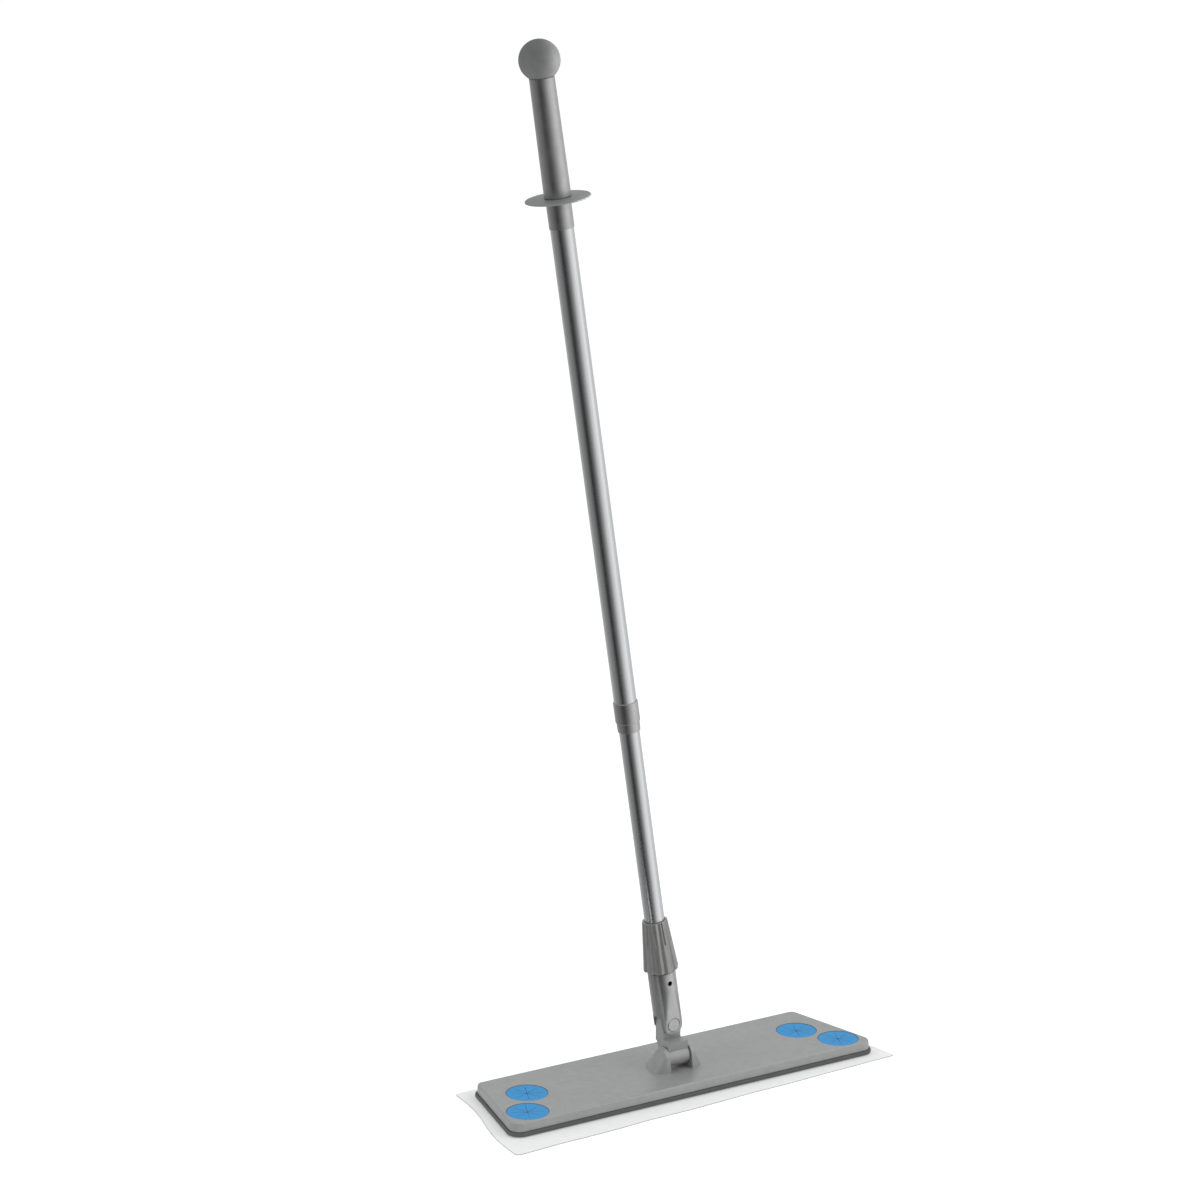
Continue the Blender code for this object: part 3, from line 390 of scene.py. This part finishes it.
def make_ball():
    """Ball knob with a blind hole for its stem."""
    low, high, radius = measure("ball_knob")
    centre = high - radius
    hole = measure("knob_stem")[2] + 0.1 * MM
    corners = [(0, high, 0)]
    steps = 40
    start = pi / 2
    end = -atan2(centre - low, sqrt(radius ** 2 - (centre - low) ** 2))
    for step in range(1, steps + 1):
        angle = start + (end - start) * step / steps
        corners.append((radius * cos(angle), centre + radius * sin(angle), 0))
    corners += [(hole, low, 0), (hole, centre, 0), (0, centre, 0)]
    finish_piece("ball", spun(corners, 96), KNOB, "knob", "ball_knob", POLE)


def make_nut():
    """Ribbed clamp nut: broad flutes over its length, narrow slots in the upper half."""
    low, high, wide = measure("lock_nut")
    wide += 0.05 * MM
    narrow = NUT_TOP_RADIUS
    bore = measure("lower_tube")[2] + 0.3 * MM
    chamber = measure("thrust_ring")[2] + 0.3 * MM
    ceiling = measure("thrust_ring")[1] + 0.3 * MM
    socket = measure("collet")[2] + 0.4 * MM
    flutes = 10
    per_flute = 26
    columns = flutes * per_flute
    length = high - low
    levels = [0.0, 0.003, 0.007, 0.012, 0.05, 0.15, 0.3, 0.4, 0.5, 0.535, 0.545, 0.555, 0.57,
              0.6, 0.7, 0.8, 0.9, 0.97, 0.988, 0.996, 1.0]
    bm = bmesh.new()
    rows = []
    for part in levels:
        foot = max(0.0, 1 - part / 0.012) ** 2
        rim = max(0.0, (part - 0.988) / 0.012) ** 2
        ease = 0.4 * MM * (foot + rim)
        slot_fade = min(1.0, max(0.0, (part - 0.535) / 0.03))
        slot_depth = 0.9 * MM * slot_fade
        flute_depth = (1.75 - 0.8 * part) * MM
        row = []
        for column in range(columns):
            angle = 2 * pi * column / columns
            flute = max(0.0, cos(angle * flutes)) ** 0.8
            side = abs((column % per_flute) - per_flute / 2)
            slot = max(0.0, 1 - side / 2.5) ** 0.5
            radius = wide + (narrow - wide) * part - ease
            radius -= flute_depth * flute + slot_depth * slot
            place = (radius * cos(angle), radius * sin(angle), low + length * part)
            row.append(bm.verts.new(place))
        rows.append(row)
    inside = [(bore, high), (bore, ceiling), (chamber, ceiling), (chamber, ceiling - 3 * MM),
              (socket, ceiling - 17 * MM), (socket, low)]
    for radius, height in inside:
        angles = [2 * pi * column / columns for column in range(columns)]
        rows.append([bm.verts.new((radius * cos(a), radius * sin(a), height)) for a in angles])
    for i, row in enumerate(rows):
        other = rows[(i + 1) % len(rows)]
        for k in range(columns):
            j = (k + 1) % columns
            bm.faces.new((row[k], row[j], other[j], other[k]))
    finish_piece("nut_ribbed", bm, NUT, "nut", "lock_nut", POLE, 50)


# ---------------------------------------------------------------- plate pieces

def make_gripper(word):
    """Soft disc with eight slit petals that dip towards the middle."""
    node = "gripper_" + word
    low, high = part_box(node)
    centre = (low + high) / 2
    outer = (high.x - low.x) / 2
    inner = SLIT_HALF_WIDTH / sin(pi / PETALS) * 1.05
    radii = [inner, 1.6 * MM, 3 * MM, 5 * MM, 7.5 * MM, 10 * MM, 12.4 * MM, 13.9 * MM,
             PETAL_REACH, 15.4 * MM, 16.6 * MM, 17.4 * MM, 18.2 * MM, 18.8 * MM,
             outer - 0.25 * MM, outer]
    per_petal = 9
    bm = bmesh.new()
    rows = []
    for r in radii:
        row = []
        slit = asin(SLIT_HALF_WIDTH / r)
        for petal in range(PETALS):
            first = 2 * pi * petal / PETALS + pi / 8
            last = first + 2 * pi / PETALS
            for step in range(per_petal + 1):
                angle = first + slit + (last - first - 2 * slit) * step / per_petal
                row.append(bm.verts.new(gripper_point(r, angle, outer)))
        rows.append(row)
    count = len(rows[0])
    for i in range(len(rows) - 1):
        inside_slits = radii[i + 1] <= PETAL_REACH + 1e-9
        for k in range(count):
            if k % (per_petal + 1) == per_petal and inside_slits:
                continue
            j = (k + 1) % count
            bm.faces.new((rows[i][k], rows[i + 1][k], rows[i + 1][j], rows[i][j]))
    bmesh.ops.solidify(bm, geom=bm.faces[:], thickness=1.0 * MM)
    bmesh.ops.translate(bm, verts=bm.verts, vec=(centre.x, centre.y, high.z))
    petals_piece = finish_piece("petals_" + word, bm, BLUE, "plate", node, STAY, 40)
    petals_piece.visible_glossy = False


def gripper_point(r, angle, outer):
    """A place on the top of a gripper: petals dip in the middle, the rim is rounded."""
    part = min(1.0, r / PETAL_REACH)
    dip = PETAL_DIP * (1 - part) ** 1.3
    rim = max(0.0, r - (outer - GRIPPER_RIM)) / GRIPPER_RIM
    drop = dip + RIM_DROP * rim ** 2
    return (r * cos(angle), r * sin(angle), -drop)


def make_wipe():
    """Thin sheet that lies under the plate, with a pressed hem along its wavy edge, whose side and
    outer rim carry painted shade.
    """
    outline = rounded_outline(WIPE_CORNERS, 3 * MM)
    middle = Vector((0.0, -5 * MM))
    shares = [1.0, 0.9985, 0.995, 0.991, 0.987, 0.983, 0.975, 0.965, 0.95, 0.93, 0.9, 0.86,
              0.8, 0.6, 0.3]
    bm = bmesh.new()
    tops, bottoms = [], []
    for share in shares:
        top_row, bottom_row = [], []
        for point in outline:
            place = middle + (point - middle) * share
            lift = wipe_lift(place, share)
            top_row.append(bm.verts.new((place.x, place.y, lift + wipe_thickness(share))))
            bottom_row.append(bm.verts.new((place.x, place.y, lift)))
        tops.append(top_row)
        bottoms.append(bottom_row)
    count = len(outline)
    for rows in (tops[1:], bottoms):
        for outside, inside in zip(rows, rows[1:]):
            for k in range(count):
                j = (k + 1) % count
                bm.faces.new((outside[k], outside[j], inside[j], inside[k]))
        bm.faces.new(rows[-1])
    for k in range(count):
        j = (k + 1) % count
        side = bm.faces.new((bottoms[0][k], bottoms[0][j], tops[0][j], tops[0][k]))
        rim = bm.faces.new((tops[0][k], tops[0][j], tops[1][j], tops[1][k]))
        # The side and outermost rim faces get the darker edge material: painted shade along the
        # edge.
        side.material_index = 1
        rim.material_index = 1
    sheet = finish_piece("wipe_sheet", bm, WEB, "plate", "wipe", STAY, 60)
    sheet.data.materials.append(WEB_EDGE_SHADE)


def wipe_thickness(share):
    """Thickness from the edge inwards: a firm edge, a pressed groove, then the sheet."""
    groove = max(0.0, 1 - abs(share - 0.989) / 0.005)
    return (0.9 - 0.3 * groove) * MM


def wipe_lift(place, share):
    """How far the sheet stands off the floor: nothing under the plate, a little at the edge."""
    free = min(1.0, max(0.0, (share - 0.9) / 0.1))
    swell = noise.noise(Vector((place.x * 22, place.y * 22, 3.7)))
    fine = noise.noise(Vector((place.x * 70, place.y * 70, 9.1)))
    return free ** 1.5 * max(0.0, 0.45 + 0.7 * swell + 0.2 * fine) * 0.6 * MM + 0.02 * MM


def rounded_outline(corners, spacing):
    """Outline in metres through corners in mm, with arcs; its last side is the wavy one."""
    points = []
    count = len(corners)
    for i, (x, y, radius) in enumerate(corners):
        here = Vector((x, y)) * MM
        before = (Vector(corners[i - 1][:2]) * MM - here).normalized()
        after = (Vector(corners[(i + 1) % count][:2]) * MM - here).normalized()
        start = here + before * radius * MM
        end = here + after * radius * MM
        for step in range(7):
            part = step / 6
            points.append(curve_point(start, here, end, part))
        goal = Vector(corners[(i + 1) % count][:2]) * MM - after * corners[(i + 1) % count][2] * MM
        span = goal - end
        steps = max(1, ceil(span.length / spacing))
        wavy = i == count - 1
        sway = 2.6 * MM if wavy else 0.35 * MM
        waves = 1 if wavy else 4
        for step in range(1, steps):
            part = step / steps
            normal = Vector((span.y, -span.x)).normalized()
            points.append(end + span * part - normal * sway * sin(2 * pi * waves * part))
    return points


# ---------------------------------------------------------------- kept CAD pieces

def soften(node, mat, width, angle=28):
    """Give a kept CAD node its material and small eased edges."""
    obj = nodes[node]
    obj.data.materials.clear()
    obj.data.materials.append(mat)
    obj.data.shade_smooth()
    weld = obj.modifiers.new("weld", "WELD")
    weld.merge_threshold = 0.002 * MM
    if width:
        bevel = obj.modifiers.new("eased_edges", "BEVEL")
        bevel.width = width
        bevel.segments = 2
        bevel.limit_method = "ANGLE"
        bevel.angle_limit = radians(angle)
        bevel.harden_normals = True
        level = obj.modifiers.new("even_shading", "WEIGHTED_NORMAL")
        level.keep_sharp = True


make_tube("upper_tube_drawn", "upper_tube", "upper", 0.7 * MM)
make_tube("lower_tube_drawn", "lower_tube", "pole", 0.8 * MM)
make_collar()
make_guard()
make_grip()
make_ball()
make_nut()
for word in ("front_left", "front_right", "back_left", "back_right"):
    make_gripper(word)
make_wipe()

soften("plate_shell", SHELL, 0.35 * MM)
soften("sole_pad", TRIM, 0.2 * MM)
soften("base_panel", LINER, 0.1 * MM)
soften("neck", JOINT, 0.25 * MM)
soften("knuckle", SHELL, 0.25 * MM)
soften("swivel_pin", JOINT, 0.15 * MM)
soften("axle_pin", STEEL, 0.15 * MM)
soften("swivel_clip", STEEL, 0.05 * MM)
soften("knob_stem", STEEL, 0.1 * MM)
soften("stem_clip", STEEL, 0.05 * MM)
for node in ("collet", "thrust_ring", "lock_plug", "lock_cam", "guide_bush", "top_plug"):
    soften(node, LINER, 0.05 * MM)


# ---------------------------------------------------------------- stage, light, camera

CAMERA_AT = Vector((-1.5297, -2.3615, 1.1329))
CAMERA_HEADING = radians(31.63)
CAMERA_DOWN = radians(13.54)
CAMERA_LENS = 97.03

# Studio brightness by direction: degrees to the right of the camera, strength
STUDIO = [
    (-180, 0.66), (-123, 0.40), (-99, 0.27), (-80, 0.24), (-63, 0.20), (-47, 0.13), (-35, 0.055),
    (-23, 0.03), (-11, 0.06), (0, 0.12), (16, 0.21), (33, 0.44), (52, 0.72), (74, 0.90), (89, 1.02),
    (106, 0.72), (128, 0.64), (180, 0.66),
]


def make_floor():
    """White floor that reflections don't see."""
    bm = bmesh.new()
    bmesh.ops.create_circle(bm, cap_ends=True, segments=96, radius=60.0)
    mesh = bpy.data.meshes.new("floor")
    bm.to_mesh(mesh)
    bm.free()
    mat, _, shader = shader_tree("floor_paint")
    shader.inputs["Base Color"].default_value = (0.82, 0.82, 0.82, 1.0)
    shader.inputs["Roughness"].default_value = 1.0
    shader.inputs["Specular IOR Level"].default_value = 0.0
    shader.inputs["Emission Color"].default_value = (1.0, 1.0, 1.0, 1.0)
    shader.inputs["Emission Strength"].default_value = 0.4
    mesh.materials.append(mat)
    floor = bpy.data.objects.new("floor", mesh)
    bpy.context.scene.collection.objects.link(floor)
    floor.visible_glossy = False


def make_world():
    """Studio ring that lights and reflects, an even ceiling, and plain white for the camera."""
    world = bpy.data.worlds.new("studio")
    bpy.context.scene.world = world
    world.use_nodes = True
    tree = world.node_tree
    place = tree.nodes.new("ShaderNodeTexCoord")
    mapping = tree.nodes.new("ShaderNodeMapping")
    mapping.inputs["Rotation"].default_value = (0.0, 0.0, pi / 2 + CAMERA_HEADING)
    link(tree, place.outputs["Generated"], mapping.inputs["Vector"])
    gradient = tree.nodes.new("ShaderNodeTexGradient")
    gradient.gradient_type = "RADIAL"
    link(tree, mapping.outputs["Vector"], gradient.inputs["Vector"])
    ramp = tree.nodes.new("ShaderNodeValToRGB")
    ramp.color_ramp.interpolation = "EASE"
    elements = ramp.color_ramp.elements
    elements[0].position = 0.0
    elements[1].position = 1.0
    for degrees, strength in STUDIO:
        position = degrees / 360 + 0.5
        if position == 0.0:
            stop = elements[0]
        elif position == 1.0:
            stop = elements[len(elements) - 1]
        else:
            stop = elements.new(position)
        stop.color = (strength, strength, strength, 1.0)
    link(tree, gradient.outputs["Fac"], ramp.inputs["Fac"])
    split = tree.nodes.new("ShaderNodeSeparateXYZ")
    link(tree, place.outputs["Generated"], split.inputs["Vector"])
    rise = ranged(tree, split.outputs["Z"], 0.0, 1.0, 0.25, 0.95)
    mix = tree.nodes.new("ShaderNodeMix")
    mix.data_type = "RGBA"
    for socket in mix.inputs:
        if socket.identifier == "B_Color":
            socket.default_value = (0.95, 0.96, 0.97, 1.0)
        if socket.identifier == "A_Color":
            link(tree, ramp.outputs["Color"], socket)
        if socket.identifier == "Factor_Float":
            link(tree, rise, socket)
    colour = next(socket for socket in mix.outputs if socket.identifier == "Result_Color")
    studio = tree.nodes["Background"]
    link(tree, colour, studio.inputs["Color"])
    backdrop = tree.nodes.new("ShaderNodeBackground")
    backdrop.inputs["Color"].default_value = (1.0, 1.0, 1.0, 1.0)
    path = tree.nodes.new("ShaderNodeLightPath")
    choose = tree.nodes.new("ShaderNodeMixShader")
    link(tree, path.outputs["Is Camera Ray"], choose.inputs["Fac"])
    link(tree, studio.outputs["Background"], choose.inputs[1])
    link(tree, backdrop.outputs["Background"], choose.inputs[2])
    link(tree, choose.outputs["Shader"], tree.nodes["World Output"].inputs["Surface"])


def add_light(name, right, near, height, size, energy, target=Vector((0, 0, 0.3)), spread=pi):
    """A soft disk light: to the right of the mop and nearer to the camera than it, aimed at it."""
    across = Vector((cos(CAMERA_HEADING), -sin(CAMERA_HEADING), 0))
    towards_camera = Vector((-sin(CAMERA_HEADING), -cos(CAMERA_HEADING), 0))
    data = bpy.data.lights.new(name, "AREA")
    data.shape = "DISK"
    data.size = size
    data.energy = energy
    data.spread = spread
    lamp = bpy.data.objects.new(name, data)
    lamp.location = across * right + towards_camera * near + Vector((0, 0, height))
    aim = target - lamp.location
    lamp.rotation_euler = aim.to_track_quat("-Z", "Y").to_euler()
    lamp.visible_glossy = False
    lamp.visible_camera = False
    bpy.context.scene.collection.objects.link(lamp)


def make_camera():
    data = bpy.data.cameras.new("camera")
    data.lens = CAMERA_LENS
    data.sensor_width = 36.0
    data.clip_start = 0.05
    data.clip_end = 200.0
    camera = bpy.data.objects.new("camera", data)
    camera.location = CAMERA_AT
    camera.rotation_euler = (pi / 2 - CAMERA_DOWN, 0.0, -CAMERA_HEADING)
    bpy.context.scene.collection.objects.link(camera)
    bpy.context.scene.camera = camera


make_floor()
make_world()
# name, then how far right, near, high and wide in metres, then watts
add_light("key", 1.5, 0.35, 1.25, 1.6, 8.6)
add_light("fill", -2.5, 1.5, 0.35, 2.2, 46.0)
add_light("hand", 0.52, -0.05, 0.88, 0.6, 2.4, POLE @ Vector((0, 0, 0.84)), radians(64))
make_camera()
bpy.context.scene.view_settings.view_transform = "Standard"
